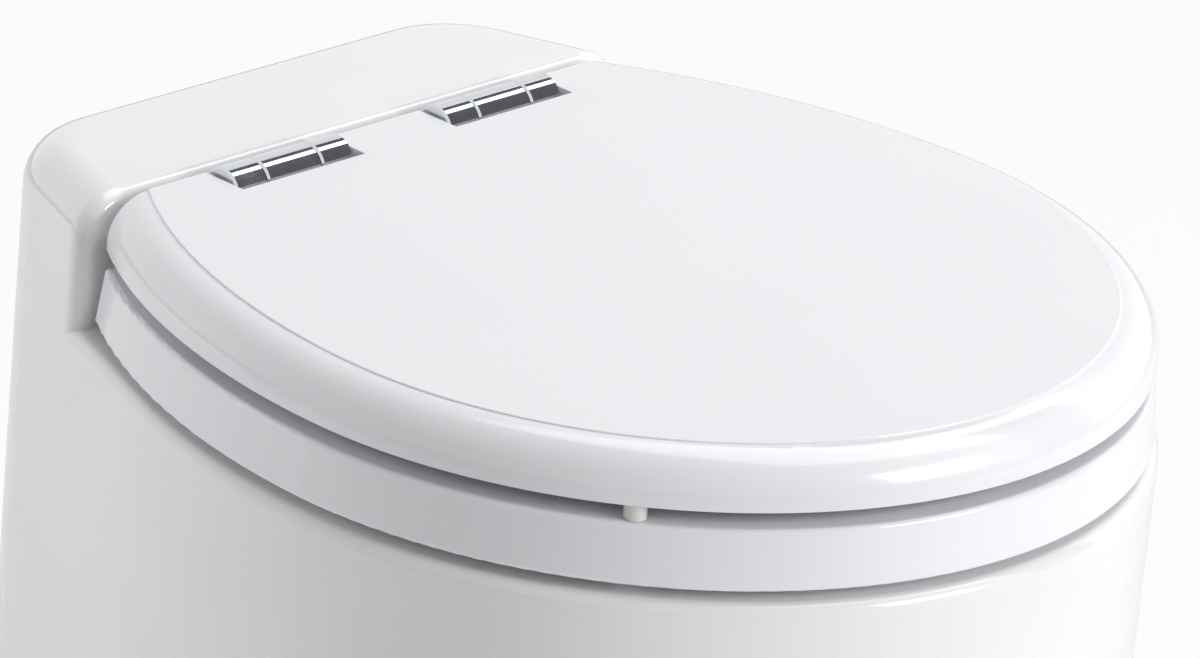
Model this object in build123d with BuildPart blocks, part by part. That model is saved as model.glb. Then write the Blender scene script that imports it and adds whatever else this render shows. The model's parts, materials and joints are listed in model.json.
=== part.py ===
from build123d import *
from math import asin, cos, degrees, radians, sin, sqrt, tan
import os

# Compact skirted marine toilet with a macerator pump behind the bowl.
# Millimetres. Origin on the floor at the middle of the ceramic's footprint box,
# +Z up, the nose of the bowl towards -Y, the flat back towards +Y.

# Ceramic: overall form
body_width = 369.0
body_depth = 420.0
rim_height = 380.0
deck_rise = 52.0
deck_depth = 75.3
side_arc_radius = 290.0
side_turn = 21.5
back_corner_radius = 46.0
toe_height = 240.0
toe_shrink = 14.0
toe_set_back = 36.0
wall = 11.0
rim_thickness = 16.0
deck_roof = 12.0
rim_edge_radius = 4.5
deck_edge_radius = 17.5
deck_front_radius = 6.0
front_y = -body_depth / 2
rear_y = body_depth / 2
nose_y = front_y + body_width / 2
deck_y = rear_y - deck_depth
back_opening_half = 97.0
back_opening_drop = 80.0
back_opening_corner = 24.0
back_opening_top = rim_height - back_opening_drop
pump_set_in = 60.0
pump_y = rear_y - pump_set_in

# Bowl: each profile row is the drop below the rim, the shift to the back, and how much
# narrower and shorter the oval is than the mouth
bowl_wall = 9.0
bowl_side_margin = 56.5
bowl_end_margin = 48.35
bowl_profile = [
    (0.0, 0.0, 0.0, 0.0),
    (40.0, 2.0, 3.0, 3.0),
    (100.0, 12.0, 20.0, 20.0),
    (170.0, 28.0, 54.0, 50.0),
]
sump_radius = 38.0
sump_top = 120.0
sump_to_pump = 144.0
outlet_z = 60.0
outlet_bore = 24.0
outlet_radius = 31.0
outlet_gap = 4.0
bowl_mouth_y = (front_y + deck_y) / 2
bowl_mouth_half_x = body_width / 2 - bowl_side_margin
bowl_mouth_half_y = (deck_y - front_y) / 2 - bowl_end_margin
sump_y = pump_y - sump_to_pump
bowl_sections = [
    (rim_height - drop, bowl_mouth_y + shift, bowl_mouth_half_x - narrow, bowl_mouth_half_y - short)
    for drop, shift, narrow, short in bowl_profile
]
bowl_sections.append((sump_top, sump_y, sump_radius, sump_radius))

# Lid and seat
lid_width = 360.0
lid_front_inset = 4.5
lid_side_draw = 46.5
lid_gap = 4.2
lid_bottom = 33.6
lid_shoulder_top = 52.6
lid_crown = 0.7
lid_shoulder_radius = 16.0
lid_wall = 10.0
lid_skin = 6.5
lid_solid_rear = 61.0
lid_crease_inset = 15.5
lid_crease_radius = 0.5
lid_rear_bevel = 1.2
lid_inner_radius = 4.0
seat_bottom = 4.4
seat_thickness = 22.6
seat_draft = 6.5
seat_edge_radius = 2.0
seat_overhang = 2.6
seat_bore_radius = 6.0
seat_under_radius = 1.5
seat_hole_forward = 6.35
seat_cover_x = 23.0
seat_cover_y = 20.0
lid_rear_y = deck_y - lid_gap
lid_nose_y = front_y + lid_front_inset + lid_width / 2
lid_arc_radius = ((lid_rear_y - lid_nose_y) ** 2 + lid_side_draw ** 2) / (2 * lid_side_draw)
seat_top = seat_bottom + seat_thickness
seat_hole_y = bowl_mouth_y - seat_hole_forward
seat_hole_half_x = bowl_mouth_half_x - seat_cover_x
seat_hole_half_y = bowl_mouth_half_y - seat_cover_y

# Hinges
hinge_spacing = 110.5
barrel_radius = 9.0
barrel_length = 60.0
post_knuckle = 27.5
knuckle_gap = 0.3
barrel_clearance = 4.0
pin_radius = 3.0
pin_clearance = 0.05
hinge_axis_rise = 48.0
notch_side_gap = 1.3
notch_depth = 25.7
tongue_thickness = 3.5
tongue_reach = 36.0
tongue_gap = 0.3
tongue_screw_pitch = 16.0
tongue_width = 15.0
lid_tongue_rise = 0.5
strap_thickness = 4.2
barrel_chamfer = 0.8
pin_recess = 1.0
washer_radius = 14.0
washer_thickness = 2.4
nut_radius = 9.0
nut_height = 8.0
wing_span = 30.0
wing_thickness = 3.0
thread_gap = 0.02
post_width = 22.0
post_depth = 12.6
post_flange_width = 40.0
post_flange_depth = 16.6
post_flange_thickness = 3.0
stud_radius = 4.0
stud_length = 46.0
stud_depth_in_post = 9.0
stud_hole_radius = 5.5
hinge_axis_y = deck_y - barrel_radius - barrel_clearance
hinge_axis_z = rim_height + hinge_axis_rise
hinge_xs = (-hinge_spacing / 2, hinge_spacing / 2)
end_knuckle = (barrel_length - post_knuckle) / 2 - knuckle_gap
knuckle_offset = post_knuckle / 2 + knuckle_gap + end_knuckle / 2
notch_y = deck_y - notch_depth
notch_width = barrel_length + 2 * notch_side_gap
tongue_front_y = notch_y - tongue_reach
seat_knuckle_xs = (-hinge_spacing / 2 + knuckle_offset, hinge_spacing / 2 - knuckle_offset)
lid_knuckle_xs = (-hinge_spacing / 2 - knuckle_offset, hinge_spacing / 2 + knuckle_offset)

# Small fixings
screw_radius = 2.0
screw_head_radius = 3.9
screw_length = 11.0
screw_clearance = 0.15
screw_head_height = 1.6
slot_width = 0.9
buffer_gap = 0.3
lid_buffer_radius = 4.2
lid_buffer_inset = 5.2
seat_buffer_radius = 7.0
seat_buffer_inset = 16.0
buffer_stem_radius = 2.0
buffer_stem = 4.0
buffer_turn = 40.4
buffer_to_deck = 49.7
buffer_rear_shift = 25.0
buffer_rear_y = deck_y - buffer_to_deck

# Rinse water
nozzle_drop = 55.0
nozzle_bore = 5.0
nozzle_radius = 9.0
nozzle_flange_radius = 14.5
nozzle_seat_inset = 5.85
nozzle_flange = 3.2
nozzle_seat_wall = 11.5
nozzle_reach = 35.5
gasket_thickness = 2.4
nozzle_nut_thickness = 6.0
hose_x = -100.0
hose_radius = 9.0
hose_bore = 6.4
hose_bend = 40.0
spigot_radius = 6.3
spigot_length = 24.0
hose_start_x = -14.0
clip_thickness = 1.1
clip_width = 8.0
fit_gap = 0.05
clip_block = 6.0
nozzle_cap_radius = 8.0
nozzle_cap = 5.0
nozzle_slot = 4.0
nozzle_nut_radius = 15.0
nozzle_z = rim_height - nozzle_drop
nozzle_seat_y = bowl_mouth_y + bowl_mouth_half_y - nozzle_seat_inset
nozzle_outer_seat_y = nozzle_seat_y + nozzle_seat_wall
hose_y = nozzle_seat_y + nozzle_reach

# Solenoid valve
valve_port_pitch = 26.0
valve_z = 98.0
valve_height = 24.0
valve_depth = 28.0
valve_width = 50.0
valve_edge_radius = 3.0
valve_bore = 4.0
valve_chamber_radius = 8.0
valve_seat_rise = 11.0
valve_seat_bore = 2.5
valve_passage_rise = 5.0
valve_inlet_rise = 16.0
valve_inlet_bore = 3.5
coil_size = 28.0
coil_height = 28.0
guide_flange_radius = 12.0
guide_flange = 2.0
guide_radius = 5.5
guide_bore = 4.05
guide_end_wall = 6.0
guide_thread_radius = 3.0
guide_thread = 8.0
plunger_radius = 4.0
plunger_length = 22.0
plunger_travel = 2.5
spring_radius = 2.9
spring_wire = 0.45
spring_turns = 4.0
inlet_length = 30.0
bracket_thickness = 3.0
bracket_strip = 16.0
bracket_foot = 15.0
bracket_shelf = 43.0
coil_x = hose_x + valve_port_pitch
valve_x = (hose_x + coil_x) / 2
valve_passage_z = valve_z + valve_passage_rise
valve_seat_z = valve_z + valve_seat_rise
valve_inlet_z = valve_z + valve_inlet_rise
valve_top = valve_z + valve_height
coil_z = valve_top + guide_flange
coil_top = coil_z + coil_height
guide_inner_top = coil_top - guide_end_wall

# Pump stack, from the floor up
pump_radius = 46.0
pump_chamber_radius = 40.0
ear_radius = 6.0
ear_pitch_radius = 51.0
ear_count = 3
ear_turn = 60.0
ear_height = 16.0
bolt_radius = 2.5
bolt_depth = 13.0
bolt_head_radius = 4.5
bolt_head_height = 4.0
base_z = 14.0
base_thickness = 3.0
base_width = 124.0
base_length = 114.0
base_corner_radius = 8.0
foot_radius = 8.0
foot_inset = 9.0
foot_stem_radius = 3.0
foot_button_radius = 5.0
foot_button = 2.0
housing_top = 92.0
housing_floor = 28.0
inlet_reach = 68.0
coupling_thickness = 5.0
coupling_grip = 16.0
clamp_inset = 6.0
plate_thickness = 4.0
plate_eye = 22.0
volute_height = 30.0
back_plate_thickness = 14.0
shaft_radius = 4.0
shaft_hole_radius = 4.4
shaft_end = 6.0
cutter_rise = 22.0
cutter_radius = 35.0
cutter_thickness = 6.0
cutter_blade_width = 12.0
hub_radius = 9.0
impeller_radius = 36.0
impeller_disc = 3.0
impeller_clearance = 4.0
impeller_height = 20.0
vane_count = 5
vane_thickness = 3.0
bearing_radius = 11.0
bearing_width = 7.0
bearing_groove_radius = 8.6
bearing_groove_depth = 0.6
seal_radius = 9.0
seal_height = 5.0
motor_radius = 40.0
motor_wall = 3.0
motor_length = 92.0
magnet_thickness = 5.9
magnet_span = 140.0
magnet_rise = 10.0
magnet_length = 62.0
armature_radius = 29.5
armature_rise = 12.0
armature_length = 58.0
armature_slots = 8
armature_slot_width = 3.0
armature_slot_depth = 9.0
commutator_length = 16.0
commutator_radius = 11.0
end_cap_height = 18.0
end_cap_rim = 5.0
end_cap_hollow = 4.0
rod_radius = 2.0
rod_ear_radius = 5.0
rod_pitch_radius = 45.0
rod_depth = 8.0
gland_x = 20.0
gland_radius = 8.0
gland_height = 6.0
gland_cap_radius = 6.5
gland_cap_height = 10.0
gland_bore = 3.2
bearing_play = 0.4
bearing_shelf = 2.0
inlet_end_y = pump_y - inlet_reach
outlet_end_y = inlet_end_y - outlet_gap
coupling_start_y = outlet_end_y - coupling_grip
coupling_end_y = inlet_end_y + coupling_grip
cutter_z = housing_floor + cutter_rise
shaft_bottom = cutter_z - shaft_end
volute_z = housing_top + plate_thickness
back_plate_z = volute_z + volute_height
motor_z = back_plate_z + back_plate_thickness
magnet_z = motor_z + magnet_rise
armature_z = motor_z + armature_rise
end_cap_z = motor_z + motor_length
end_cap_top = end_cap_z + end_cap_height
bearing_zs = (motor_z - bearing_width - bearing_play, end_cap_z + end_cap_hollow + bearing_shelf)

# Discharge
discharge_offset = 26.0
discharge_radius = 12.7
discharge_bore = 9.5
discharge_bend = 20.0
discharge_end_x = 60.0
elbow_wall = 4.0
elbow_reach = 33.0
check_gap = 1.0
check_spigot = 12.5
check_length = 30.0
check_radius = 20.0
check_chamber = 17.0
check_wall = 3.0
flap_radius = 12.5
flap_thickness = 2.5
flap_seat_gap = 0.3
flap_pivot_rise = 13.5
flap_pin_radius = 1.25
flap_pin_half = 12.4
flap_arm_width = 8.0
discharge_x = discharge_end_x + discharge_bend
discharge_y = pump_y - discharge_offset
discharge_z = volute_z + volute_height / 2
elbow_start_x = pump_radius
elbow_end_y = discharge_y + elbow_reach
check_y = elbow_end_y + check_gap

# Floor fixing
bracket_foot_length = 40.0
bracket_width = 36.0
bracket_plate = 5.0
bracket_height = 50.0
bracket_boss_radius = 8.0
bracket_boss = 6.4
bracket_gap = 0.9
side_screw_z = 35.0
side_screw_radius = 3.0
side_screw_length = 26.0
side_screw_head_radius = 5.0
side_screw_head = 3.0
side_screw_clearance = 0.5
cap_seat_depth = 1.0
cap_radius = 8.5
cap_height = 5.0
cap_clearance = 0.5
floor_hole_radius = 4.0
bracket_y = nose_y + toe_set_back
skirt_half_at_screw = body_width / 2 - toe_shrink * ((toe_height - side_screw_z) / toe_height) ** 2
cap_seat_x = skirt_half_at_screw - cap_seat_depth
bracket_boss_x = skirt_half_at_screw - wall - bracket_gap
bracket_x = bracket_boss_x - bracket_boss
floor_hole_x = bracket_x - bracket_foot_length / 2

os.makedirs("parts", exist_ok=True)


def write(node, name):
    """Label a finished piece and write its file."""
    node.part.label = name
    export_step(node.part, f"parts/{name}.step")


def skirt_plan(shrink, set_back, back_y):
    """Plan of the ceramic: half-round nose, side arcs, straight sides running in to the back."""
    half = body_width / 2 - shrink
    nose = nose_y + set_back
    run_in = tan(radians(side_turn))
    with BuildSketch() as plan:
        with BuildLine():
            arc = JernArc((half, nose), (0, 1), side_arc_radius, side_turn)
            bend = arc @ 1
            corner = (bend.X - (back_y - bend.Y) * run_in, back_y)
            Line(bend, corner)
            Line(corner, (-corner[0], back_y))
            Line((-corner[0], back_y), (-bend.X, bend.Y))
            JernArc((-half, nose), (0, 1), side_arc_radius, -side_turn)
            ThreePointArc((-half, nose), (0, nose - half), (half, nose))
        make_face()
        fillet(plan.vertices().group_by(Axis.Y)[-1], back_corner_radius)
    return plan.sketch


def lid_plan(inset, rear):
    """Plan of the lid and seat: half-round nose and one long arc down each side."""
    half = lid_width / 2 - inset
    radius = lid_arc_radius - inset
    turn = degrees(asin((rear - lid_nose_y) / radius))
    with BuildSketch() as plan:
        with BuildLine():
            arc = JernArc((half, lid_nose_y), (0, 1), radius, turn)
            end = arc @ 1
            Line(end, (-end.X, end.Y))
            JernArc((-half, lid_nose_y), (0, 1), radius, -turn)
            ThreePointArc((-half, lid_nose_y), (0, lid_nose_y - half), (half, lid_nose_y))
        make_face()
    return plan.sketch


def toe(height):
    """How far the skirt has drawn in at a height: (shrink of the plan, set back of the nose)."""
    share = max(0.0, (toe_height - height) / toe_height) ** 2
    return toe_shrink * share, toe_set_back * share


def skirt(inset, back_y, base_z, top_z):
    """The skirt's volume: straight down from the rim, then drawn in towards the floor."""
    levels = [base_z, toe_height / 3, toe_height * 2 / 3, toe_height]
    with BuildPart() as volume:
        for level in levels:
            shrink, set_back = toe(level)
            with BuildSketch(Plane.XY.offset(level)):
                add(skirt_plan(shrink + inset, set_back, back_y))
        loft()
        with BuildSketch(Plane.XY.offset(toe_height)):
            add(skirt_plan(inset, 0, back_y))
        extrude(amount=top_z - toe_height)
    return volume.part


def bowl(grow, top_z):
    """The bowl's volume, a loft through its oval sections, with the round sump below."""
    with BuildPart() as volume:
        for level, middle, half_x, half_y in bowl_sections:
            with BuildSketch(Plane.XY.offset(level)):
                with Locations((0, middle)):
                    Ellipse(half_x + grow, half_y + grow)
        loft()
        with BuildSketch(Plane.XY.offset(outlet_z - outlet_bore - grow)):
            with Locations((0, sump_y)):
                Circle(sump_radius + grow)
        extrude(amount=sump_top - outlet_z + outlet_bore + grow)
        if top_z > rim_height:
            with BuildSketch(Plane.XY.offset(rim_height)):
                with Locations((0, bowl_mouth_y)):
                    Ellipse(bowl_mouth_half_x + grow, bowl_mouth_half_y + grow)
            extrude(amount=top_z - rim_height)
    return volume.part


def along_y(y):
    """A sketch plane whose normal is +Y and whose own axes are +X and -Z, at a depth y."""
    return Plane(origin=(0, y, 0), x_dir=(1, 0, 0), z_dir=(0, 1, 0))


def tongue_screws(x, z):
    """The two screw places of a tongue."""
    middle = (tongue_front_y + notch_y) / 2
    return [(x, middle - tongue_screw_pitch / 2, z), (x, middle + tongue_screw_pitch / 2, z)]


def tongue_pocket(x, z, depth):
    """The room for one tongue and its screws, to both sides of a height z."""
    with BuildPart() as room:
        with Locations((x, tongue_front_y - tongue_gap, z)):
            Box(tongue_width + 2 * tongue_gap, tongue_reach + 2 * tongue_gap, 2 * depth,
                align=(Align.CENTER, Align.MIN, Align.CENTER))
        with Locations(*tongue_screws(x, z)):
            Cylinder(screw_radius + screw_clearance, 2 * (screw_length + 1))
    return room.part


def knuckle(x, plate_z):
    """An end knuckle: barrel, strap down its front and a tongue running forwards."""
    strap_y = hinge_axis_y - barrel_radius
    with BuildPart() as piece:
        with Locations((x, hinge_axis_y, hinge_axis_z)):
            Cylinder(barrel_radius, end_knuckle, rotation=(0, 90, 0))
        chamfer(piece.edges().filter_by(GeomType.CIRCLE), barrel_chamfer)
        with Locations((x, strap_y, plate_z)):
            Box(tongue_width, strap_thickness, hinge_axis_z - plate_z,
                align=(Align.CENTER, Align.MIN, Align.MIN))
        with Locations((x, tongue_front_y, plate_z)):
            Box(tongue_width, strap_y + strap_thickness - tongue_front_y, tongue_thickness,
                align=(Align.CENTER, Align.MIN, Align.MIN))
        with Locations((x, hinge_axis_y, hinge_axis_z)):
            Cylinder(pin_radius + pin_clearance, 2 * end_knuckle, rotation=(0, 90, 0),
                     mode=Mode.SUBTRACT)
        with Locations(*tongue_screws(x, plate_z)):
            Cylinder(screw_radius + screw_clearance, 4 * tongue_thickness, mode=Mode.SUBTRACT)
    return piece.part


def hinge_post(x):
    """The fixed middle knuckle on its column and flange, with the blind hole for its stud."""
    with BuildPart() as piece:
        with Locations((x, hinge_axis_y, hinge_axis_z)):
            Cylinder(barrel_radius, post_knuckle, rotation=(0, 90, 0))
        chamfer(piece.edges().filter_by(GeomType.CIRCLE), barrel_chamfer)
        with Locations((x, hinge_axis_y, rim_height)):
            Box(post_width, post_depth, hinge_axis_rise, align=(Align.CENTER, Align.CENTER, Align.MIN))
            Box(post_flange_width, post_flange_depth, post_flange_thickness,
                align=(Align.CENTER, Align.CENTER, Align.MIN))
        with Locations((x, hinge_axis_y, hinge_axis_z)):
            Cylinder(pin_radius + pin_clearance, 2 * post_knuckle, rotation=(0, 90, 0),
                     mode=Mode.SUBTRACT)
        with Locations((x, hinge_axis_y, rim_height)):
            Cylinder(stud_radius + thread_gap, 2 * (stud_depth_in_post + 1), mode=Mode.SUBTRACT)
    return piece.part


def screw(radius, length, head_radius, head_height):
    """A slotted pan-head screw along -Z, its head resting on the origin."""
    with BuildPart() as piece:
        Cylinder(radius, length, align=(Align.CENTER, Align.CENTER, Align.MAX))
        Cylinder(head_radius, head_height, align=(Align.CENTER, Align.CENTER, Align.MIN))
        with Locations((0, 0, head_height)):
            Box(3 * head_radius, slot_width, head_height, mode=Mode.SUBTRACT)
    return piece.part


def buffer_spots(inset):
    """Four places in from the lid's edge: two round the nose, two further in at the rear."""
    reach = lid_width / 2 - inset
    x = reach * cos(radians(buffer_turn))
    y = lid_nose_y - reach * sin(radians(buffer_turn))
    side = sqrt((lid_arc_radius - inset) ** 2 - (buffer_rear_y - lid_nose_y) ** 2)
    rear_x = lid_width / 2 - lid_arc_radius + side - buffer_rear_shift
    return [(-x, y), (x, y), (-rear_x, buffer_rear_y), (rear_x, buffer_rear_y)]


def buffers(inset, radius, low, high):
    """Four rubber buffers, each a disc with a stem that plugs in above it."""
    with BuildPart() as group:
        for x, y in buffer_spots(inset):
            with Locations((x, y, low)):
                Cylinder(radius, high - low, align=(Align.CENTER, Align.CENTER, Align.MIN))
                Cylinder(buffer_stem_radius, high - low + buffer_stem,
                         align=(Align.CENTER, Align.CENTER, Align.MIN))
    return group.part


def buffer_holes(inset, height):
    """The blind holes for four buffer stems, from a face upwards."""
    with BuildPart() as group:
        for x, y in buffer_spots(inset):
            with Locations((x, y, height)):
                Cylinder(buffer_stem_radius + fit_gap, 2 * (buffer_stem + 0.5))
    return group.part


def tube(points, bend, outer, bore):
    """A round hose along a path with rounded turns."""
    with BuildPart() as hose:
        with BuildLine():
            route = FilletPolyline(*points, radius=bend)
        with BuildSketch(Plane(origin=route @ 0, z_dir=route % 0)):
            Circle(outer)
            Circle(bore, mode=Mode.SUBTRACT)
        sweep()
    return hose.part


def band_clip(radius):
    """A worm-drive clip about the Z axis: band, screw housing on +X and its screw."""
    block_x = radius + clip_thickness + clip_block / 2
    with BuildPart() as clip:
        Cylinder(radius + fit_gap + clip_thickness, clip_width)
        with Locations((block_x, 0, 0)):
            Box(clip_block, 2 * clip_block, clip_width)
            Cylinder(clip_block / 3, 3 * clip_block, rotation=(90, 0, 0))
        Cylinder(radius + fit_gap, 2 * clip_width, mode=Mode.SUBTRACT)
    return clip.part


def pump_layer(z, height, bore):
    """One layer of the pump stack: a round body with bolt ears and a middle hole."""
    with BuildPart() as layer:
        with BuildSketch(Plane.XY.offset(z)):
            with Locations((0, pump_y)):
                Circle(pump_radius)
                with PolarLocations(ear_pitch_radius - ear_radius, ear_count, ear_turn):
                    Rectangle(2 * ear_radius, 2 * ear_radius)
                with PolarLocations(ear_pitch_radius, ear_count, ear_turn):
                    Circle(ear_radius)
                    Circle(bolt_radius + thread_gap, mode=Mode.SUBTRACT)
                Circle(bore, mode=Mode.SUBTRACT)
        extrude(amount=height)
    return layer.part


def ring(outer, inner, z, height):
    """A plain ring about the pump axis."""
    with BuildPart() as piece:
        with BuildSketch(Plane.XY.offset(z)):
            with Locations((0, pump_y)):
                Circle(outer)
                Circle(inner, mode=Mode.SUBTRACT)
        extrude(amount=height)
    return piece.part


# Ceramic: skirt, rim and deck as one solid, hollowed behind and around the bowl
with BuildPart() as deck_block:
    with BuildSketch(Plane.XY.offset(rim_height - rim_thickness)):
        add(skirt_plan(0, 0, rear_y))
        with Locations((0, deck_y)):
            Rectangle(2 * body_width, 2 * body_depth, align=(Align.CENTER, Align.MAX), mode=Mode.SUBTRACT)
    extrude(amount=deck_rise + rim_thickness)
    top_edges = deck_block.faces().sort_by(Axis.Z)[-1].edges()
    fillet(top_edges.sort_by(Axis.Y)[1:], deck_edge_radius)
    front_face = deck_block.faces().filter_by(Axis.Y).sort_by(Axis.Y)[0]
    fillet(front_face.edges().sort_by(Axis.Z)[1:], deck_front_radius)

with BuildPart() as hollow:
    add(skirt(wall, rear_y - wall, 0, rim_height - rim_thickness))
    with BuildSketch(Plane.XY.offset(rim_height - rim_thickness)):
        add(skirt_plan(wall, 0, rear_y - wall))
        with Locations((0, deck_y + wall)):
            Rectangle(2 * body_width, 2 * body_depth, align=(Align.CENTER, Align.MAX), mode=Mode.SUBTRACT)
    extrude(amount=deck_rise + rim_thickness - deck_roof)
    add(bowl(bowl_wall, rim_height), mode=Mode.SUBTRACT)
    with BuildSketch(along_y(sump_y)):
        with Locations((0, -outlet_z)):
            Circle(outlet_radius)
    extrude(amount=outlet_end_y - sump_y, mode=Mode.SUBTRACT)

with BuildPart() as ceramic_body:
    add(skirt(0, rear_y, 0, rim_height))
    rim_edges = ceramic_body.faces().sort_by(Axis.Z)[-1].edges()
    fillet(rim_edges, rim_edge_radius)
    add(deck_block.part)
    add(hollow.part, mode=Mode.SUBTRACT)
    add(bowl(0, rim_height + 1), mode=Mode.SUBTRACT)
    # outlet bore from the sump
    with BuildSketch(along_y(sump_y)):
        with Locations((0, -outlet_z)):
            Circle(outlet_bore)
    extrude(amount=body_depth, mode=Mode.SUBTRACT)
    # open back, for the pump and the hoses
    with BuildSketch(along_y(rear_y - 2 * wall)):
        RectangleRounded(2 * back_opening_half, 2 * back_opening_top, back_opening_corner)
    extrude(amount=3 * wall, mode=Mode.SUBTRACT)
    # hinge stud holes through the platform
    for x in hinge_xs:
        with Locations((x, hinge_axis_y, rim_height)):
            Cylinder(stud_hole_radius, 3 * rim_thickness, mode=Mode.SUBTRACT)
    # rinse nozzle hole, with a flat seat inside the bowl and one outside
    with BuildSketch(along_y(nozzle_seat_y)):
        with Locations((0, -nozzle_z)):
            Circle(nozzle_radius + 0.5)
    extrude(amount=hose_y - nozzle_seat_y, mode=Mode.SUBTRACT)
    with BuildSketch(along_y(nozzle_seat_y + nozzle_flange)):
        with Locations((0, -nozzle_z)):
            Circle(nozzle_flange_radius + 1)
    extrude(amount=-2 * nozzle_flange_radius, mode=Mode.SUBTRACT)
    with BuildSketch(along_y(nozzle_outer_seat_y)):
        with Locations((0, -nozzle_z)):
            Circle(nozzle_flange_radius + 3)
    extrude(amount=nozzle_flange_radius, mode=Mode.SUBTRACT)
    # side screw holes low in the skirt, each with a flat seat for its cap
    with Locations((0, bracket_y, side_screw_z)):
        Cylinder(side_screw_radius + side_screw_clearance, 2 * body_width, rotation=(0, 90, 0),
                 mode=Mode.SUBTRACT)
    with Locations((cap_seat_x + cap_radius, bracket_y, side_screw_z),
                   (-cap_seat_x - cap_radius, bracket_y, side_screw_z)):
        Cylinder(cap_radius + cap_clearance, 2 * cap_radius, rotation=(0, 90, 0), mode=Mode.SUBTRACT)
write(ceramic_body, "ceramic_body")

# Seat: a drafted ring with a rounded bore
with BuildPart() as seat_ring:
    with BuildSketch(Plane.XY.offset(rim_height + seat_bottom)):
        add(lid_plan(-seat_overhang, lid_rear_y))
    extrude(amount=seat_thickness, taper=seat_draft)
    with BuildSketch(Plane.XY.offset(rim_height)):
        with Locations((0, seat_hole_y)):
            Ellipse(seat_hole_half_x, seat_hole_half_y)
    extrude(amount=seat_top + 1, mode=Mode.SUBTRACT)
    fillet(seat_ring.faces().sort_by(Axis.Z)[0].edges(), seat_under_radius)
    seat_upper = seat_ring.faces().sort_by(Axis.Z)[-1]
    fillet(seat_upper.inner_wires()[0].edges(), seat_bore_radius)
    fillet(seat_ring.faces().sort_by(Axis.Z)[-1].outer_wire().edges(), seat_edge_radius)
    for x in hinge_xs:
        with Locations((x, lid_rear_y, rim_height)):
            Box(notch_width, 2 * (lid_rear_y - notch_y), 3 * seat_top, mode=Mode.SUBTRACT)
    for x in seat_knuckle_xs:
        add(tongue_pocket(x, rim_height + seat_top, tongue_thickness + tongue_gap), mode=Mode.SUBTRACT)
    add(buffer_holes(seat_buffer_inset, rim_height + seat_bottom), mode=Mode.SUBTRACT)
write(seat_ring, "seat_ring")

# Lid: shoulder rounded all round the front, flat top inside a crease, hollow underneath
with BuildPart() as lid_recess:
    with BuildSketch(Plane.XY.offset(rim_height)):
        add(lid_plan(lid_wall, lid_rear_y - lid_solid_rear))
    extrude(amount=lid_shoulder_top + lid_crown - lid_skin)
    fillet(lid_recess.faces().sort_by(Axis.Z)[-1].edges(), lid_inner_radius)

with BuildPart() as lid:
    with BuildSketch(Plane.XY.offset(rim_height + lid_bottom)):
        add(lid_plan(0, lid_rear_y))
    extrude(amount=lid_shoulder_top - lid_bottom)
    crest = lid.faces().sort_by(Axis.Z)[-1].edges()
    fillet(crest.sort_by(Axis.Y)[:-1], lid_shoulder_radius)
    chamfer(lid.faces().sort_by(Axis.Z)[-1].edges().sort_by(Axis.Y)[-1], lid_rear_bevel)
    with BuildSketch(Plane.XY.offset(rim_height + lid_shoulder_top - lid_crown)):
        add(lid_plan(lid_crease_inset, lid_rear_y - lid_rear_bevel))
    extrude(amount=2 * lid_crown)
    fillet(lid.faces().sort_by(Axis.Z)[-1].edges(), lid_crease_radius)
    add(lid_recess.part, mode=Mode.SUBTRACT)
    for x in hinge_xs:
        with Locations((x, lid_rear_y, rim_height + lid_shoulder_top)):
            Box(notch_width, 2 * (lid_rear_y - notch_y), 3 * lid_bottom, mode=Mode.SUBTRACT)
    for x in lid_knuckle_xs:
        add(tongue_pocket(x, rim_height + lid_bottom, lid_tongue_rise + tongue_thickness + tongue_gap),
            mode=Mode.SUBTRACT)
    add(buffer_holes(lid_buffer_inset, rim_height + lid_bottom), mode=Mode.SUBTRACT)
write(lid, "lid")

# Hinges
for side, x in (("left", hinge_xs[0]), ("right", hinge_xs[1])):
    with BuildPart() as post:
        add(hinge_post(x))
    write(post, f"hinge_post_{side}")

seat_tongue_z = rim_height + seat_top - tongue_thickness
for side, x in (("left", seat_knuckle_xs[0]), ("right", seat_knuckle_xs[1])):
    with BuildPart() as seat_knuckle:
        add(knuckle(x, seat_tongue_z))
    write(seat_knuckle, f"seat_knuckle_{side}")

lid_tongue_z = rim_height + lid_bottom + lid_tongue_rise
for side, x in (("left", lid_knuckle_xs[0]), ("right", lid_knuckle_xs[1])):
    with BuildPart() as lid_knuckle:
        add(knuckle(x, lid_tongue_z))
    write(lid_knuckle, f"lid_knuckle_{side}")

with BuildPart() as hinge_pins:
    with Locations(*[(x, hinge_axis_y, hinge_axis_z) for x in hinge_xs]):
        Cylinder(pin_radius, barrel_length - 2 * pin_recess, rotation=(0, 90, 0))
write(hinge_pins, "hinge_pins")

with BuildPart() as hinge_studs:
    with Locations(*[(x, hinge_axis_y, rim_height + stud_depth_in_post) for x in hinge_xs]):
        Cylinder(stud_radius, stud_length, align=(Align.CENTER, Align.CENTER, Align.MAX))
write(hinge_studs, "hinge_studs")

with BuildPart() as hinge_washers:
    with Locations(*[(x, hinge_axis_y, rim_height - rim_thickness) for x in hinge_xs]):
        Cylinder(washer_radius, washer_thickness, align=(Align.CENTER, Align.CENTER, Align.MAX))
        Cylinder(stud_radius + 0.3, 4 * washer_thickness, mode=Mode.SUBTRACT)
write(hinge_washers, "hinge_washers")

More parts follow.
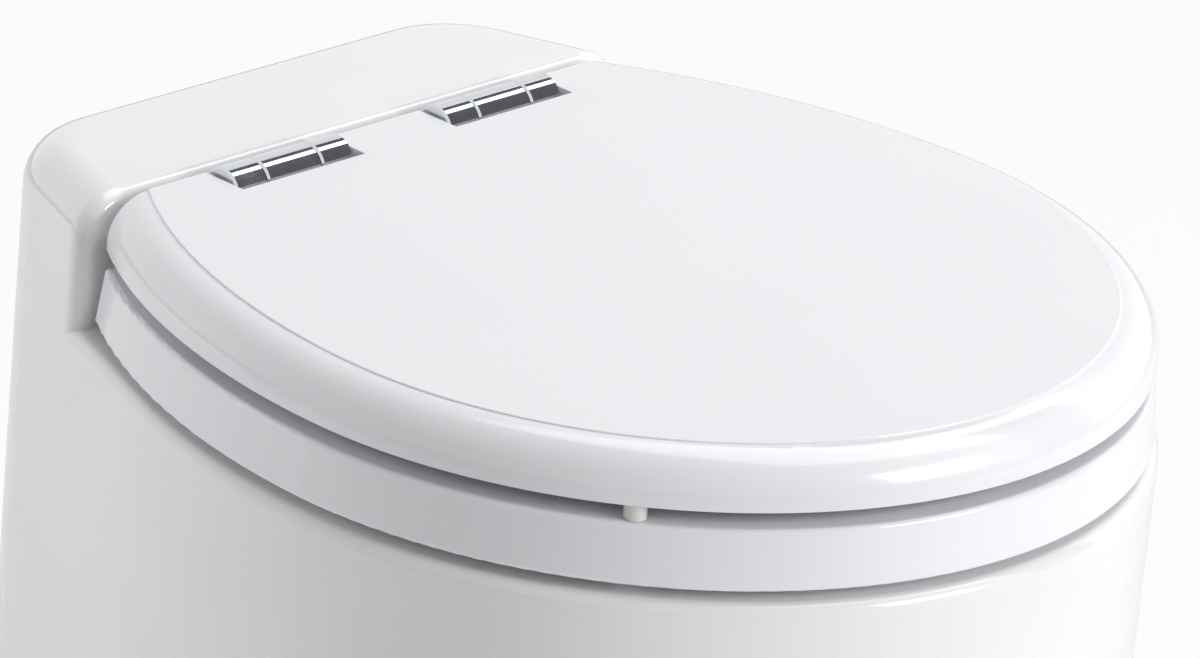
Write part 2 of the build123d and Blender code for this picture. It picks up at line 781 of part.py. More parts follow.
with BuildPart() as hinge_nuts:
    nut_z = rim_height - rim_thickness - washer_thickness
    with BuildSketch(Plane.XY.offset(nut_z)):
        with Locations(*[(x, hinge_axis_y) for x in hinge_xs]):
            RegularPolygon(nut_radius, 6)
    extrude(amount=-nut_height)
    with Locations(*[(x, hinge_axis_y, nut_z - nut_height / 2) for x in hinge_xs]):
        Box(wing_span, wing_thickness, nut_height, align=(Align.CENTER, Align.CENTER, Align.MAX))
    with Locations(*[(x, hinge_axis_y, nut_z) for x in hinge_xs]):
        Cylinder(stud_radius + thread_gap, 4 * nut_height, mode=Mode.SUBTRACT)
write(hinge_nuts, "hinge_nuts")

small_screw = screw(screw_radius, screw_length, screw_head_radius, screw_head_height)
with BuildPart() as seat_screws:
    for x in seat_knuckle_xs:
        for spot in tongue_screws(x, rim_height + seat_top):
            add(small_screw.moved(Location(spot)))
write(seat_screws, "seat_screws")

with BuildPart() as lid_screws:
    for x in lid_knuckle_xs:
        for spot in tongue_screws(x, lid_tongue_z):
            add(small_screw.moved(Location(spot, (180, 0, 0))))
write(lid_screws, "lid_screws")

with BuildPart() as lid_buffers:
    add(buffers(lid_buffer_inset, lid_buffer_radius, rim_height + seat_top + buffer_gap,
                rim_height + lid_bottom))
write(lid_buffers, "lid_buffers")

with BuildPart() as seat_buffers:
    add(buffers(seat_buffer_inset, seat_buffer_radius, rim_height + buffer_gap,
                rim_height + seat_bottom))
write(seat_buffers, "seat_buffers")

# Rinse nozzle: capped flange inside the bowl, threaded body through the wall, side spigot
nozzle_back_y = hose_y + nozzle_radius
with BuildPart() as rinse_nozzle:
    with BuildSketch(along_y(nozzle_seat_y)):
        with Locations((0, -nozzle_z)):
            Circle(nozzle_flange_radius)
    extrude(amount=nozzle_flange)
    with BuildSketch(along_y(nozzle_seat_y - nozzle_cap)):
        with Locations((0, -nozzle_z)):
            Circle(nozzle_cap_radius)
    extrude(amount=nozzle_cap)
    fillet(rinse_nozzle.edges().sort_by(Axis.Y)[0], nozzle_cap / 3)
    with BuildSketch(along_y(nozzle_seat_y)):
        with Locations((0, -nozzle_z)):
            Circle(nozzle_radius)
    extrude(amount=nozzle_back_y - nozzle_seat_y)
    with Locations((0, hose_y, nozzle_z)):
        Cylinder(spigot_radius, nozzle_radius + spigot_length, rotation=(0, -90, 0),
                 align=(Align.CENTER, Align.CENTER, Align.MIN))
        Cylinder(nozzle_bore - 1, 2 * (nozzle_radius + spigot_length), rotation=(0, -90, 0),
                 align=(Align.CENTER, Align.CENTER, Align.MIN), mode=Mode.SUBTRACT)
    with BuildSketch(along_y(nozzle_seat_y - nozzle_cap / 2)):
        with Locations((0, -nozzle_z)):
            Circle(nozzle_bore)
    extrude(amount=hose_y - nozzle_seat_y + nozzle_cap, mode=Mode.SUBTRACT)
    with Locations((0, nozzle_seat_y - nozzle_cap / 2, nozzle_z)):
        Box(4 * nozzle_cap_radius, nozzle_cap / 2, nozzle_slot, mode=Mode.SUBTRACT)
        Box(nozzle_slot, nozzle_cap / 2, 2 * nozzle_cap_radius,
            align=(Align.CENTER, Align.CENTER, Align.MAX), mode=Mode.SUBTRACT)
write(rinse_nozzle, "rinse_nozzle")

with BuildPart() as nozzle_gasket:
    with BuildSketch(along_y(nozzle_outer_seat_y)):
        with Locations((0, -nozzle_z)):
            Circle(nozzle_flange_radius)
            Circle(nozzle_radius + fit_gap, mode=Mode.SUBTRACT)
    extrude(amount=gasket_thickness)
write(nozzle_gasket, "nozzle_gasket")

with BuildPart() as nozzle_nut:
    with BuildSketch(along_y(nozzle_outer_seat_y + gasket_thickness)):
        with Locations((0, -nozzle_z)):
            RegularPolygon(nozzle_nut_radius, 6)
            Circle(nozzle_radius + thread_gap, mode=Mode.SUBTRACT)
    extrude(amount=nozzle_nut_thickness)
write(nozzle_nut, "nozzle_nut")

with BuildPart() as rinse_hose:
    add(tube([(hose_start_x, hose_y, nozzle_z), (hose_x, hose_y, nozzle_z),
              (hose_x, hose_y, valve_top + 2)], hose_bend, hose_radius, hose_bore))
write(rinse_hose, "rinse_hose")

with BuildPart() as rinse_clips:
    clip = band_clip(hose_radius)
    add(clip.moved(Location((hose_start_x - clip_width, hose_y, nozzle_z), (0, 90, 0))))
    add(clip.moved(Location((hose_x, hose_y, valve_top + 2 + clip_width), (0, 0, 180))))
write(rinse_clips, "rinse_clips")

# Solenoid valve
with BuildPart() as valve_body:
    with Locations((valve_x, hose_y, valve_z)):
        Box(valve_width, valve_depth, valve_height, align=(Align.CENTER, Align.CENTER, Align.MIN))
    fillet(valve_body.edges().filter_by(Axis.Z), valve_edge_radius)
    with Locations((hose_x, hose_y, valve_top)):
        Cylinder(spigot_radius, spigot_length, align=(Align.CENTER, Align.CENTER, Align.MIN))
    with BuildSketch(along_y(hose_y)):
        with Locations((coil_x, -valve_inlet_z)):
            Circle(spigot_radius)
    extrude(amount=valve_depth / 2 + inlet_length)
    with BuildSketch(along_y(hose_y)):
        with Locations((coil_x, -valve_inlet_z)):
            Circle(valve_inlet_bore)
    extrude(amount=valve_depth + inlet_length, mode=Mode.SUBTRACT)
    with Locations((coil_x, hose_y, valve_seat_z)):
        Cylinder(valve_chamber_radius, valve_height, mode=Mode.SUBTRACT,
                 align=(Align.CENTER, Align.CENTER, Align.MIN))
    with Locations((coil_x, hose_y, valve_passage_z)):
        Cylinder(valve_seat_bore, valve_height, mode=Mode.SUBTRACT,
                 align=(Align.CENTER, Align.CENTER, Align.MIN))
        Cylinder(valve_seat_bore, coil_x - hose_x, rotation=(0, -90, 0), mode=Mode.SUBTRACT,
                 align=(Align.CENTER, Align.CENTER, Align.MIN))
    with Locations((hose_x, hose_y, valve_passage_z)):
        Cylinder(valve_bore, 2 * (valve_height + spigot_length), mode=Mode.SUBTRACT,
                 align=(Align.CENTER, Align.CENTER, Align.MIN))
    valve_screw_xs = (valve_x - valve_width / 2 + 7, valve_x + valve_width / 2 - 9)
    with Locations(*[(x, hose_y, valve_z) for x in valve_screw_xs]):
        Cylinder(screw_radius + thread_gap, 2 * 4.0, mode=Mode.SUBTRACT)
write(valve_body, "valve_body")

with BuildPart() as valve_guide:
    with Locations((coil_x, hose_y, valve_top)):
        Cylinder(guide_flange_radius, guide_flange, align=(Align.CENTER, Align.CENTER, Align.MIN))
        Cylinder(guide_radius, coil_top - valve_top, align=(Align.CENTER, Align.CENTER, Align.MIN))
        Cylinder(guide_thread_radius, coil_top - valve_top + guide_thread,
                 align=(Align.CENTER, Align.CENTER, Align.MIN))
        Cylinder(guide_bore, guide_inner_top - valve_top, mode=Mode.SUBTRACT,
                 align=(Align.CENTER, Align.CENTER, Align.MIN))
write(valve_guide, "valve_guide")

with BuildPart() as valve_coil:
    with Locations((coil_x, hose_y, coil_z)):
        Box(coil_size, coil_size, coil_height, align=(Align.CENTER, Align.CENTER, Align.MIN))
    fillet(valve_coil.edges(), valve_edge_radius / 2)
    with Locations((coil_x, hose_y - coil_size / 2, coil_z + coil_height / 2)):
        Box(coil_size / 2, coil_size / 2, coil_height / 2)
    with Locations((coil_x, hose_y, coil_z)):
        Cylinder(guide_radius + fit_gap, 3 * coil_height, mode=Mode.SUBTRACT)
write(valve_coil, "valve_coil")

with BuildPart() as valve_nut:
    with BuildSketch(Plane.XY.offset(coil_top)):
        with Locations((coil_x, hose_y)):
            RegularPolygon(2 * guide_thread_radius, 6)
            Circle(guide_thread_radius + thread_gap, mode=Mode.SUBTRACT)
    extrude(amount=guide_thread - 2)
write(valve_nut, "valve_nut")

plunger_z = valve_seat_z + buffer_gap
with BuildPart() as valve_plunger:
    with Locations((coil_x, hose_y, plunger_z)):
        Cylinder(plunger_radius, plunger_length, align=(Align.CENTER, Align.CENTER, Align.MIN))
    chamfer(valve_plunger.edges().filter_by(GeomType.CIRCLE).sort_by(Axis.Z)[-1], spring_wire)
write(valve_plunger, "valve_plunger")

spring_z = plunger_z + plunger_length + 2 * spring_wire
spring_height = guide_inner_top - spring_z - 2 * spring_wire
with BuildPart() as valve_spring:
    with BuildLine():
        coil_line = Helix(spring_height / spring_turns, spring_height, spring_radius,
                          center=(coil_x, hose_y, spring_z))
    with BuildSketch(Plane(origin=coil_line @ 0, z_dir=coil_line % 0)):
        Circle(spring_wire)
    sweep()
write(valve_spring, "valve_spring")

strip_x = -base_width / 2
strip_z = base_z + base_thickness
with BuildPart() as valve_bracket:
    with Locations((strip_x - bracket_thickness, hose_y, strip_z)):
        Box(bracket_foot + bracket_thickness, bracket_strip, bracket_thickness,
            align=(Align.MIN, Align.CENTER, Align.MIN))
        Box(bracket_thickness, bracket_strip, valve_z - strip_z,
            align=(Align.MIN, Align.CENTER, Align.MIN))
    with Locations((strip_x, hose_y, valve_z - bracket_thickness)):
        Box(bracket_shelf, bracket_strip, bracket_thickness,
            align=(Align.MAX, Align.CENTER, Align.MIN))
    fillet(valve_bracket.edges().filter_by(Axis.Y).group_by(Axis.X)[-2].sort_by(Axis.Z)[-1], 2.0)
    with Locations(*[(x, hose_y, valve_z) for x in valve_screw_xs]):
        Cylinder(screw_radius + screw_clearance, 4 * bracket_thickness, mode=Mode.SUBTRACT)
    with Locations((strip_x + bracket_foot / 2, hose_y, strip_z)):
        Cylinder(screw_radius + screw_clearance, 4 * bracket_thickness, mode=Mode.SUBTRACT)
write(valve_bracket, "valve_bracket")

plate_screw = screw(screw_radius, 2 * bracket_thickness, screw_head_radius, screw_head_height)
with BuildPart() as valve_screws:
    for x in valve_screw_xs:
        add(plate_screw.moved(Location((x, hose_y, valve_z - bracket_thickness), (180, 0, 0))))
    add(plate_screw.moved(Location((strip_x + bracket_foot / 2, hose_y, strip_z + bracket_thickness))))
write(valve_screws, "valve_screws")

# Pump stack
foot_spots = []
for x in (-base_width / 2 + foot_inset, base_width / 2 - foot_inset):
    for y in (pump_y - base_length / 2 + foot_inset, pump_y + base_length / 2 - foot_inset):
        foot_spots.append((x, y))

with BuildPart() as pump_feet:
    for x, y in foot_spots:
        with Locations((x, y, 0)):
            Cylinder(foot_radius, base_z, align=(Align.CENTER, Align.CENTER, Align.MIN))
            Cylinder(foot_stem_radius, base_z + base_thickness + foot_button,
                     align=(Align.CENTER, Align.CENTER, Align.MIN))
        with Locations((x, y, base_z + base_thickness)):
            Cylinder(foot_button_radius, foot_button, align=(Align.CENTER, Align.CENTER, Align.MIN))
write(pump_feet, "pump_feet")

with BuildPart() as pump_base:
    with BuildSketch(Plane.XY.offset(base_z)):
        with Locations((0, pump_y)):
            RectangleRounded(base_width, base_length, base_corner_radius)
        with Locations(*foot_spots):
            Circle(foot_stem_radius + fit_gap, mode=Mode.SUBTRACT)
        with Locations((strip_x + bracket_foot / 2, hose_y)):
            Circle(screw_radius + thread_gap, mode=Mode.SUBTRACT)
    extrude(amount=base_thickness)
write(pump_base, "pump_base")

with BuildPart() as pump_housing:
    add(ring(pump_radius, pump_chamber_radius, base_z + base_thickness,
             housing_top - base_z - base_thickness))
    with Locations((0, pump_y, base_z + base_thickness)):
        Cylinder(pump_radius, housing_floor - base_z - base_thickness,
                 align=(Align.CENTER, Align.CENTER, Align.MIN))
    add(pump_layer(housing_top - ear_height, ear_height, pump_chamber_radius))
    with BuildSketch(along_y(inlet_end_y)):
        with Locations((0, -outlet_z)):
            Circle(outlet_radius)
    extrude(amount=pump_y - pump_chamber_radius - inlet_end_y)
    with Locations((0, pump_y, housing_floor)):
        Cylinder(pump_chamber_radius, housing_top, mode=Mode.SUBTRACT,
                 align=(Align.CENTER, Align.CENTER, Align.MIN))
    with BuildSketch(along_y(inlet_end_y)):
        with Locations((0, -outlet_z)):
            Circle(outlet_bore)
    extrude(amount=pump_y - inlet_end_y, mode=Mode.SUBTRACT)
    with Locations((0, pump_y, housing_top)):
        with PolarLocations(ear_pitch_radius, ear_count, ear_turn):
            Cylinder(bolt_radius + thread_gap, 2 * ear_height, mode=Mode.SUBTRACT)
write(pump_housing, "pump_housing")

with BuildPart() as sump_coupling:
    with BuildSketch(along_y(coupling_start_y)):
        with Locations((0, -outlet_z)):
            Circle(outlet_radius + fit_gap + coupling_thickness)
            Circle(outlet_radius + fit_gap, mode=Mode.SUBTRACT)
    extrude(amount=coupling_end_y - coupling_start_y)
write(sump_coupling, "sump_coupling")

with BuildPart() as coupling_clamps:
    clamp = band_clip(outlet_radius + fit_gap + coupling_thickness)
    for y in (coupling_start_y + clamp_inset, coupling_end_y - clamp_inset):
        add(clamp.moved(Location((0, y, outlet_z), (90, 0, 0))))
write(coupling_clamps, "coupling_clamps")

with BuildPart() as suction_plate:
    add(pump_layer(housing_top, plate_thickness, plate_eye))
write(suction_plate, "suction_plate")

with BuildPart() as volute:
    add(pump_layer(volute_z, volute_height, pump_chamber_radius))
    with Locations((0, discharge_y, discharge_z)):
        Cylinder(discharge_radius, discharge_end_x, rotation=(0, 90, 0),
                 align=(Align.CENTER, Align.CENTER, Align.MIN))
    with Locations((0, pump_y, volute_z)):
        Cylinder(pump_chamber_radius, volute_height, mode=Mode.SUBTRACT,
                 align=(Align.CENTER, Align.CENTER, Align.MIN))
    with Locations((0, discharge_y, discharge_z)):
        Cylinder(discharge_bore, 2 * discharge_end_x, rotation=(0, 90, 0), mode=Mode.SUBTRACT,
                 align=(Align.CENTER, Align.CENTER, Align.MIN))
write(volute, "volute")

rod_spots = ((0, pump_y - rod_pitch_radius), (0, pump_y + rod_pitch_radius))
with BuildPart() as back_plate:
    add(pump_layer(back_plate_z, back_plate_thickness, shaft_hole_radius))
    with BuildSketch(Plane.XY.offset(back_plate_z)):
        with Locations(*rod_spots):
            Circle(rod_ear_radius)
    extrude(amount=back_plate_thickness)
    with Locations((0, pump_y, back_plate_z)):
        Cylinder(shaft_hole_radius, back_plate_thickness, mode=Mode.SUBTRACT,
                 align=(Align.CENTER, Align.CENTER, Align.MIN))
        Cylinder(seal_radius + fit_gap, 2 * seal_height, mode=Mode.SUBTRACT)
    with Locations((0, pump_y, bearing_zs[0])):
        Cylinder(bearing_radius + fit_gap, back_plate_thickness, mode=Mode.SUBTRACT,
                 align=(Align.CENTER, Align.CENTER, Align.MIN))
    with Locations(*[(x, y, motor_z) for x, y in rod_spots]):
        Cylinder(rod_radius + thread_gap, 2 * rod_depth, mode=Mode.SUBTRACT)
write(back_plate, "back_plate")

with BuildPart() as shaft_seal:
    add(ring(seal_radius, shaft_radius + fit_gap, back_plate_z, seal_height))
write(shaft_seal, "shaft_seal")

with BuildPart() as motor_bearings:
    for z in bearing_zs:
        add(ring(bearing_radius, shaft_radius + fit_gap, z, bearing_width))
        add(ring(bearing_groove_radius, bearing_groove_radius - 2, z, bearing_groove_depth),
            mode=Mode.SUBTRACT)
        add(ring(bearing_groove_radius, bearing_groove_radius - 2,
                 z + bearing_width - bearing_groove_depth, bearing_groove_depth), mode=Mode.SUBTRACT)
write(motor_bearings, "motor_bearings")

with BuildPart() as motor_can:
    add(ring(motor_radius, motor_radius - motor_wall, motor_z, motor_length))
write(motor_can, "motor_can")

magnet_outer = motor_radius - motor_wall - fit_gap
with BuildPart() as motor_magnets:
    for middle in (0, 180):
        with BuildSketch(Plane.XY.offset(magnet_z)):
            with Locations((0, pump_y)):
                with BuildLine():
                    CenterArc((0, pump_y), magnet_outer, middle - magnet_span / 2, magnet_span)
                    CenterArc((0, pump_y), magnet_outer - magnet_thickness,
                              middle - magnet_span / 2, magnet_span)
                    for angle in (middle - magnet_span / 2, middle + magnet_span / 2):
                        along = Vector(cos(radians(angle)), sin(radians(angle)))
                        Line(Vector(0, pump_y) + along * magnet_outer,
                             Vector(0, pump_y) + along * (magnet_outer - magnet_thickness))
            make_face()
        extrude(amount=magnet_length)
write(motor_magnets, "motor_magnets")

with BuildPart() as armature:
    with BuildSketch(Plane.XY.offset(armature_z)):
        with Locations((0, pump_y)):
            Circle(armature_radius)
            Circle(shaft_radius + thread_gap, mode=Mode.SUBTRACT)
            with PolarLocations(armature_radius - armature_slot_depth / 2, armature_slots):
                Rectangle(armature_slot_depth + 1, armature_slot_width, mode=Mode.SUBTRACT)
    extrude(amount=armature_length)
    add(ring(commutator_radius, shaft_radius + thread_gap, armature_z + armature_length,
             commutator_length))
write(armature, "armature")

with BuildPart() as motor_end_cap:
    with BuildSketch(Plane.XY.offset(end_cap_z)):
        with Locations((0, pump_y)):
            Circle(motor_radius)
            Rectangle(2 * rod_ear_radius, 2 * rod_pitch_radius)
        with Locations(*rod_spots):
            Circle(rod_ear_radius)
    extrude(amount=end_cap_height)
    with Locations((0, pump_y, end_cap_z)):
        Cylinder(motor_radius - end_cap_rim, 2 * end_cap_hollow, mode=Mode.SUBTRACT)
        Cylinder(bearing_radius + fit_gap, 2 * (bearing_zs[1] + bearing_width - end_cap_z),
                 mode=Mode.SUBTRACT)
        Cylinder(shaft_hole_radius, 2 * (end_cap_height - 2), mode=Mode.SUBTRACT)
    with Locations(*[(x, y, end_cap_z) for x, y in rod_spots]):
        Cylinder(rod_radius + screw_clearance, 3 * end_cap_height, mode=Mode.SUBTRACT)
    with Locations((gland_x, pump_y, end_cap_top)):
        Cylinder(gland_bore, 3 * end_cap_height, mode=Mode.SUBTRACT)
write(motor_end_cap, "motor_end_cap")

with BuildPart() as pump_shaft:
    with Locations((0, pump_y, shaft_bottom)):
        Cylinder(shaft_radius, bearing_zs[1] + bearing_width - shaft_bottom,
                 align=(Align.CENTER, Align.CENTER, Align.MIN))
write(pump_shaft, "pump_shaft")

with BuildPart() as cutter:
    with BuildSketch(Plane.XY.offset(cutter_z)):
        with Locations((0, pump_y)):
            Rectangle(3 * cutter_radius, cutter_blade_width)
            Circle(cutter_radius, mode=Mode.INTERSECT)
            Circle(hub_radius)
            Circle(shaft_radius + thread_gap, mode=Mode.SUBTRACT)
    extrude(amount=cutter_thickness)
write(cutter, "cutter")

impeller_z = volute_z + impeller_clearance
with BuildPart() as impeller:
    add(ring(hub_radius, shaft_radius + thread_gap, impeller_z, impeller_height))
    add(ring(impeller_radius, shaft_radius + thread_gap, impeller_z + impeller_height - impeller_disc,
             impeller_disc))
    with BuildSketch(Plane.XY.offset(impeller_z)):
        with Locations((0, pump_y)):
            with PolarLocations(impeller_radius / 2, vane_count):
                Rectangle(impeller_radius - hub_radius + 2, vane_thickness, rotation=28,
                          align=(Align.CENTER, Align.CENTER))
            Circle(shaft_radius + thread_gap + 2, mode=Mode.SUBTRACT)
    extrude(amount=impeller_height)
write(impeller, "impeller")

cap_bolt = screw(bolt_radius, motor_z - housing_top + bolt_depth, bolt_head_radius, bolt_head_height)
with BuildPart() as pump_bolts:
    for count in range(ear_count):
        turn = radians(ear_turn + 360 * count / ear_count)
        add(cap_bolt.moved(Location((ear_pitch_radius * cos(turn),
                                     pump_y + ear_pitch_radius * sin(turn), motor_z))))
write(pump_bolts, "pump_bolts")

rod = screw(rod_radius, end_cap_top - motor_z + rod_depth, screw_head_radius, screw_head_height)
with BuildPart() as tie_rods:
    for x, y in rod_spots:
        add(rod.moved(Location((x, y, end_cap_top))))
write(tie_rods, "tie_rods")

with BuildPart() as cable_gland:
    with BuildSketch(Plane.XY.offset(end_cap_top)):
        with Locations((gland_x, pump_y)):
            RegularPolygon(gland_radius, 6)
    extrude(amount=gland_height)
    with Locations((gland_x, pump_y, end_cap_top + gland_height)):
        Cylinder(gland_cap_radius, gland_cap_height, align=(Align.CENTER, Align.CENTER, Align.MIN))
    fillet(cable_gland.edges().sort_by(Axis.Z)[-1], gland_cap_radius / 3)
    with Locations((gland_x, pump_y, end_cap_top)):
        Cylinder(gland_bore, 3 * gland_cap_height, mode=Mode.SUBTRACT)
write(cable_gland, "cable_gland")

# Discharge: rubber elbow, non-return valve and hose spigot
elbow_bore = discharge_radius + fit_gap
with BuildPart() as discharge_elbow:
    add(tube([(elbow_start_x, discharge_y, discharge_z), (discharge_x, discharge_y, discharge_z),
              (discharge_x, elbow_end_y, discharge_z)], discharge_bend, elbow_bore + elbow_wall,
             elbow_bore))
write(discharge_elbow, "discharge_elbow")

with BuildPart() as discharge_clips:
    elbow_clip = band_clip(elbow_bore + elbow_wall)
    add(elbow_clip.moved(Location((elbow_start_x + clip_width / 2 + 1, discharge_y, discharge_z),
                                  (0, 90, 0))))
    add(elbow_clip.moved(Location((discharge_x, elbow_end_y - clip_width / 2 - 1, discharge_z),
                                  (90, 0, 0))))
write(discharge_clips, "discharge_clips")

pivot_y = check_y + check_wall + flap_seat_gap + flap_thickness / 2
pivot_z = discharge_z + flap_pivot_rise
with BuildPart() as check_body:
    with BuildSketch(along_y(check_y)):
        with Locations((discharge_x, -discharge_z)):
            Circle(check_radius)
    extrude(amount=check_length)
    with BuildSketch(along_y(check_y - check_spigot)):
        with Locations((discharge_x, -discharge_z)):
            Circle(discharge_radius)
    extrude(amount=check_spigot)
    with BuildSketch(along_y(check_y + check_wall)):
        with Locations((discharge_x, -discharge_z)):
            Circle(check_chamber)
    extrude(amount=check_length, mode=Mode.SUBTRACT)
    with BuildSketch(along_y(check_y - check_spigot)):
        with Locations((discharge_x, -discharge_z)):
            Circle(discharge_bore)
    extrude(amount=check_length, mode=Mode.SUBTRACT)
    with Locations((discharge_x, pivot_y, pivot_z)):
        Cylinder(flap_pin_radius + fit_gap, 2 * (flap_pin_half + buffer_gap), rotation=(0, 90, 0),
                 mode=Mode.SUBTRACT)
write(check_body, "check_body")

with BuildPart() as check_flap:
    with BuildSketch(along_y(pivot_y - flap_thickness / 2)):
        with Locations((discharge_x, -discharge_z)):
            Circle(flap_radius)
        with Locations((discharge_x, -pivot_z)):
            Rectangle(flap_arm_width, flap_pivot_rise, align=(Align.CENTER, Align.MIN))
    extrude(amount=flap_thickness)
    with Locations((discharge_x, pivot_y, pivot_z)):
        Cylinder(flap_pin_radius, 2 * flap_pin_half, rotation=(0, 90, 0))
write(check_flap, "check_flap")

with BuildPart() as check_outlet:
    with BuildSketch(along_y(check_y + check_length)):
        with Locations((discharge_x, -discharge_z)):
            Circle(check_radius)
    extrude(amount=check_wall)
    with BuildSketch(along_y(check_y + check_length)):
        with Locations((discharge_x, -discharge_z)):
            Circle(discharge_radius)
    extrude(amount=rear_y - check_y - check_length)
    with BuildSketch(along_y(check_y + check_length)):
        with Locations((discharge_x, -discharge_z)):
            Circle(discharge_bore)
    extrude(amount=body_depth, mode=Mode.SUBTRACT)
write(check_outlet, "check_outlet")

# Floor fixing inside the skirt
with BuildPart() as fixing_brackets:
    for side in (-1, 1):
        inner = Align.MAX if side > 0 else Align.MIN
        with Locations((side * bracket_x, bracket_y, 0)):
            Box(bracket_foot_length, bracket_width, bracket_plate, align=(inner, Align.CENTER, Align.MIN))
            Box(bracket_plate, bracket_width, bracket_height, align=(inner, Align.CENTER, Align.MIN))
        with Locations((side * (bracket_x + bracket_boss_x) / 2, bracket_y, side_screw_z)):
            Cylinder(bracket_boss_radius, bracket_boss_x - bracket_x, rotation=(0, 90, 0))
        with Locations((side * bracket_x, bracket_y, side_screw_z)):
            Cylinder(side_screw_radius + thread_gap, bracket_foot_length, rotation=(0, 90, 0),
                     mode=Mode.SUBTRACT)
        with Locations((side * floor_hole_x, bracket_y, 0)):
            Cylinder(floor_hole_radius, 3 * bracket_plate, mode=Mode.SUBTRACT)
write(fixing_brackets, "fixing_brackets")

side_screw = screw(side_screw_radius, side_screw_length, side_screw_head_radius, side_screw_head)
with BuildPart() as side_screws:
    for side in (-1, 1):
        add(side_screw.moved(Location((side * cap_seat_x, bracket_y, side_screw_z), (0, side * 90, 0))))
write(side_screws, "side_screws")

with BuildPart() as screw_caps:
    for side in (-1, 1):
        outward = Align.MIN if side > 0 else Align.MAX
        with Locations((side * cap_seat_x, bracket_y, side_screw_z)):
            Cylinder(cap_radius, cap_height, rotation=(0, 90, 0),
                     align=(Align.CENTER, Align.CENTER, outward))
            Cylinder(side_screw_head_radius + fit_gap, 2 * side_screw_head + 0.4, rotation=(0, 90, 0),
                     mode=Mode.SUBTRACT)
    crowns = screw_caps.edges().filter_by(GeomType.CIRCLE).sort_by(Axis.X)
    fillet([crowns[0], crowns[-1]], cap_height / 2)
write(screw_caps, "screw_caps")
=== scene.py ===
# %% [markdown]
# # A compact marine toilet, from its CAD frame to a finished look
#
# The solids come from the CAD model and are already in the right place, in metres, with
# +Z up, the bowl's nose towards -Y and the flat back towards +Y. This script gives every
# solid a finish, adds the light and the camera, and leaves the shapes where they are.

# %% Load the frame
import json
from math import cos, radians, sin

import bpy
from mathutils import Matrix, Vector

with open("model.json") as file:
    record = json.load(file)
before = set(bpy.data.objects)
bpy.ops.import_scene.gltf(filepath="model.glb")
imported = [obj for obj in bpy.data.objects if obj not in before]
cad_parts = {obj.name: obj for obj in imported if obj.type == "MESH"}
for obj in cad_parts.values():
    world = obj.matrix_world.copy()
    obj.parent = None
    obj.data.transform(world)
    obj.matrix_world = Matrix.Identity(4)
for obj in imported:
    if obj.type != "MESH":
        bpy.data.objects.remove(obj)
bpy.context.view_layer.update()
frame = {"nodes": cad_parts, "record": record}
nodes = frame["nodes"]
record = frame["record"]

# %% [markdown]
# ## Colours and nodes
#
# Paint and plastic colours are easiest to name as the hex values that a colour picker
# shows. Blender's shaders work in linear light, so one function turns hex into linear
# numbers. A second small function adds a shader node, sets it up and joins it to the
# nodes before it. Patterns are easiest to size in millimetres, so two more functions
# turn a width into a texture scale, one for noise and one for waves, which draw about six
# bands where noise has one cell. The finishes go into a table by the CAD model's slots.


# %% Colour conversion and the node helper
def linear(hex_colour):
    """The linear RGBA of an sRGB hex colour such as "F4F4F2"."""
    channels = [int(hex_colour[i:i + 2], 16) / 255 for i in (0, 2, 4)]
    return [c / 12.92 if c <= 0.04045 else ((c + 0.055) / 1.055) ** 2.4 for c in channels] + [1.0]


def add(tree, kind, inputs=None, **settings):
    """Adds a node. Inputs are values, or (node, output) pairs to link from."""
    new = tree.nodes.new("ShaderNode" + kind)
    for name, value in settings.items():
        setattr(new, name, value)
    for name, value in (inputs or {}).items():
        if isinstance(value, tuple) and isinstance(value[0], bpy.types.Node):
            tree.links.new(value[0].outputs[value[1]], new.inputs[name])
        else:
            new.inputs[name].default_value = value
    return new


def finish(name, colour, roughness, **sockets):
    """A new material: its tree, its main shader, and coordinates in metres."""
    material = bpy.data.materials.new(name)
    material.use_nodes = True
    tree = material.node_tree
    shader = tree.nodes["Principled BSDF"]
    shader.inputs["Base Color"].default_value = linear(colour)
    shader.inputs["Roughness"].default_value = roughness
    for socket, value in sockets.items():
        shader.inputs[socket.replace("_", " ")].default_value = value
    place = add(tree, "TexCoord")
    return material, tree, shader, (place, "Object")


def per_metre(millimetres):
    """The texture scale at which one cell of a pattern is this many millimetres wide."""
    return 1000 / millimetres


def per_band(millimetres):
    """The wave texture's scale at which each light or dark band is about this wide."""
    bands_in_a_unit = 6.28
    return per_metre(millimetres) / bands_in_a_unit


finishes = {}
print("white china in linear light:", [round(c, 3) for c in linear("F4F4F2")])

# %% [markdown]
# ## Glazed vitreous china
#
# The body is slip-cast clay, sprayed with a glass glaze and fired. The eye sees a hard,
# wet-looking gloss over a very slightly uneven form: the glaze pools and thins over a
# few centimetres, so reflections wander a little. The foot ring is wiped clean before
# firing and stays rough and a little greyer. A low, wide noise bends the highlights, a
# fainter one shifts the tone, and the height above the floor picks out the bare foot.


